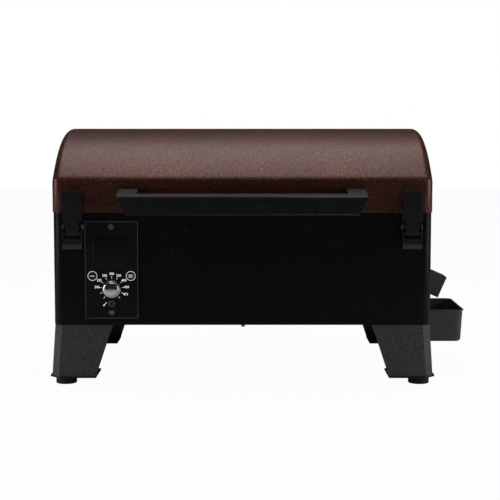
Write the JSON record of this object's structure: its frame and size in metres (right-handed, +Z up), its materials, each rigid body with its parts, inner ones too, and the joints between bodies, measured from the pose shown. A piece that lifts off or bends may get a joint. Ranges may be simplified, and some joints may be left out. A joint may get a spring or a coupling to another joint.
{
  "type": "pellet smoker grill",
  "caption": "Tabletop wood-pellet smoker grill with arched hinged lid, front control panel, draw latches, rear hopper with auger and fan, grease spout and bucket.",
  "frame": {"origin": "under the middle of the part's whole box, on the surface it stands on", "axes": "+X to the right seen from the front, +Y to the back, +Z up; the front faces -Y"},
  "size_m": [0.613, 0.56, 0.3664],
  "materials": {
    "lid_enamel": "hammertone mahogany powder coat, semi-gloss",
    "body_paint": "fine black powder coat, semi-gloss",
    "leg_paint": "dark grey hammertone powder coat",
    "satin_black": "satin black paint",
    "panel_black": "black overlay with white print",
    "window_glass": "smoked display window",
    "chrome_trim": "polished chrome",
    "zinc_steel": "zinc-plated fasteners and sheet",
    "foot_rubber": "moulded black rubber",
    "grate_iron": "seasoned porcelain-coated iron",
    "seal_felt": "woven high-temperature seal",
    "black_plastic": "moulded black plastic",
    "board_green": "circuit board",
    "screw_black": "black-oxide screws"
  },
  "bodies": {
    "root": {"air_duct": "zinc_steel", "auger_motor": "zinc_steel", "auger_tube": "zinc_steel", "body_rivets": "screw_black", "body_shell": "body_paint", "broiler_plate": "zinc_steel", "broiler_posts": "zinc_steel", "bucket_hanger": "satin_black", "burn_pot": "zinc_steel", "chamber_probe": "zinc_steel", "cleanout_screw": "zinc_steel", "control_board": "board_green", "control_box": "black_plastic", "cooking_grates": "grate_iron", "display_window": "window_glass", "fan_frame": "black_plastic", "feet": "foot_rubber", "foot_plates": "satin_black", "grate_rails": "zinc_steel", "grease_gutter": "zinc_steel", "grease_spout": "leg_paint", "hinge_body_leaves": "satin_black", "hinge_pins": "zinc_steel", "hopper_bin": "zinc_steel", "hopper_guard": "zinc_steel", "hopper_hinge": "zinc_steel", "igniter": "zinc_steel", "latch_base_pins": "zinc_steel", "latch_bases": "satin_black", "leg_fasteners": "zinc_steel", "leg_front_left": "leg_paint", "leg_front_right": "leg_paint", "leg_rear_left": "leg_paint", "leg_rear_right": "leg_paint", "lid_seal": "seal_felt", "panel_plate": "panel_black", "panel_screws": "screw_black", "pot_housing": "zinc_steel", "power_inlet": "black_plastic", "probe_jack": "chrome_trim", "rear_housing": "body_paint", "service_cover": "zinc_steel"},
    "lid": {"lid_shell": "lid_enamel", "lid_handle": "satin_black", "lid_fasteners": "screw_black", "hinge_lid_leaves": "satin_black", "latch_keepers": "satin_black"},
    "latch_lever_left": {"latch_lever_left": "satin_black"},
    "latch_lever_right": {"latch_lever_right": "satin_black"},
    "latch_hook_left": {"latch_hook_left": "satin_black"},
    "latch_hook_right": {"latch_hook_right": "satin_black"},
    "hopper_lid": {"hopper_lid": "body_paint"},
    "knob": {"control_knob": "chrome_trim"},
    "button_left": {"button_left": "black_plastic"},
    "button_right": {"button_right": "black_plastic"},
    "auger": {"auger": "zinc_steel"},
    "fan": {"fan_rotor": "black_plastic"},
    "slider": {"broiler_slider": "zinc_steel"},
    "bucket": {"grease_bucket": "leg_paint"}
  },
  "joints": [
    {"name": "lid_hinge", "type": "hinge", "parent": "root", "child": "lid", "pos_m": [-0.0295, 0.14, 0.249], "axis": [-1, 0, 0], "range_deg": [0, 90]},
    {"name": "latch_lever_left", "type": "hinge", "parent": "root", "child": "latch_lever_left", "pos_m": [-0.2695, -0.2375, 0.227], "axis": [-1, 0, 0], "range_deg": [0, 90]},
    {"name": "latch_hook_left", "type": "hinge", "parent": "latch_lever_left", "child": "latch_hook_left", "pos_m": [-0.2695, -0.241, 0.219], "axis": [-1, 0, 0], "range_deg": [-108.5, 0.5]},
    {"name": "latch_lever_right", "type": "hinge", "parent": "root", "child": "latch_lever_right", "pos_m": [0.2105, -0.2375, 0.227], "axis": [-1, 0, 0], "range_deg": [0, 90]},
    {"name": "latch_hook_right", "type": "hinge", "parent": "latch_lever_right", "child": "latch_hook_right", "pos_m": [0.2105, -0.241, 0.219], "axis": [-1, 0, 0], "range_deg": [-108.5, 0.5]},
    {"name": "hopper_lid_hinge", "type": "hinge", "parent": "root", "child": "hopper_lid", "pos_m": [-0.0295, 0.276, 0.244], "axis": [-1, 0, 0], "range_deg": [0, 100]},
    {"name": "knob_turn", "type": "hinge", "parent": "root", "child": "knob", "pos_m": [-0.216, -0.2285, 0.139], "axis": [0, 1, 0], "range_deg": [0, 290]},
    {"name": "button_left_press", "type": "slide", "parent": "root", "child": "button_left", "axis": [0, 1, 0], "range_m": [0, 0.0015], "stiffness_N_per_m": 500, "springref_m": -0.0005},
    {"name": "button_right_press", "type": "slide", "parent": "root", "child": "button_right", "axis": [0, 1, 0], "range_m": [0, 0.0015], "stiffness_N_per_m": 500, "springref_m": -0.0005},
    {"name": "auger_turn", "type": "hinge", "parent": "root", "child": "auger", "pos_m": [-0.0295, 0.1315, 0.128], "axis": [0, 1, 0], "continuous": true},
    {"name": "fan_turn", "type": "hinge", "parent": "root", "child": "fan", "pos_m": [0.0555, 0.1315, 0.14], "axis": [0, 1, 0], "continuous": true},
    {"name": "slider_slide", "type": "slide", "parent": "root", "child": "slider", "axis": [0, 1, 0], "range_m": [0, 0.08]},
    {"name": "bucket_lift", "type": "slide", "parent": "root", "child": "bucket", "axis": [0, 0, 1], "range_m": [0, 0.009]}
  ],
  "couplings": [
    {"joint": "latch_hook_left", "follows": "latch_lever_left", "ratio": -1.2},
    {"joint": "latch_hook_right", "follows": "latch_lever_right", "ratio": -1.2}
  ]
}
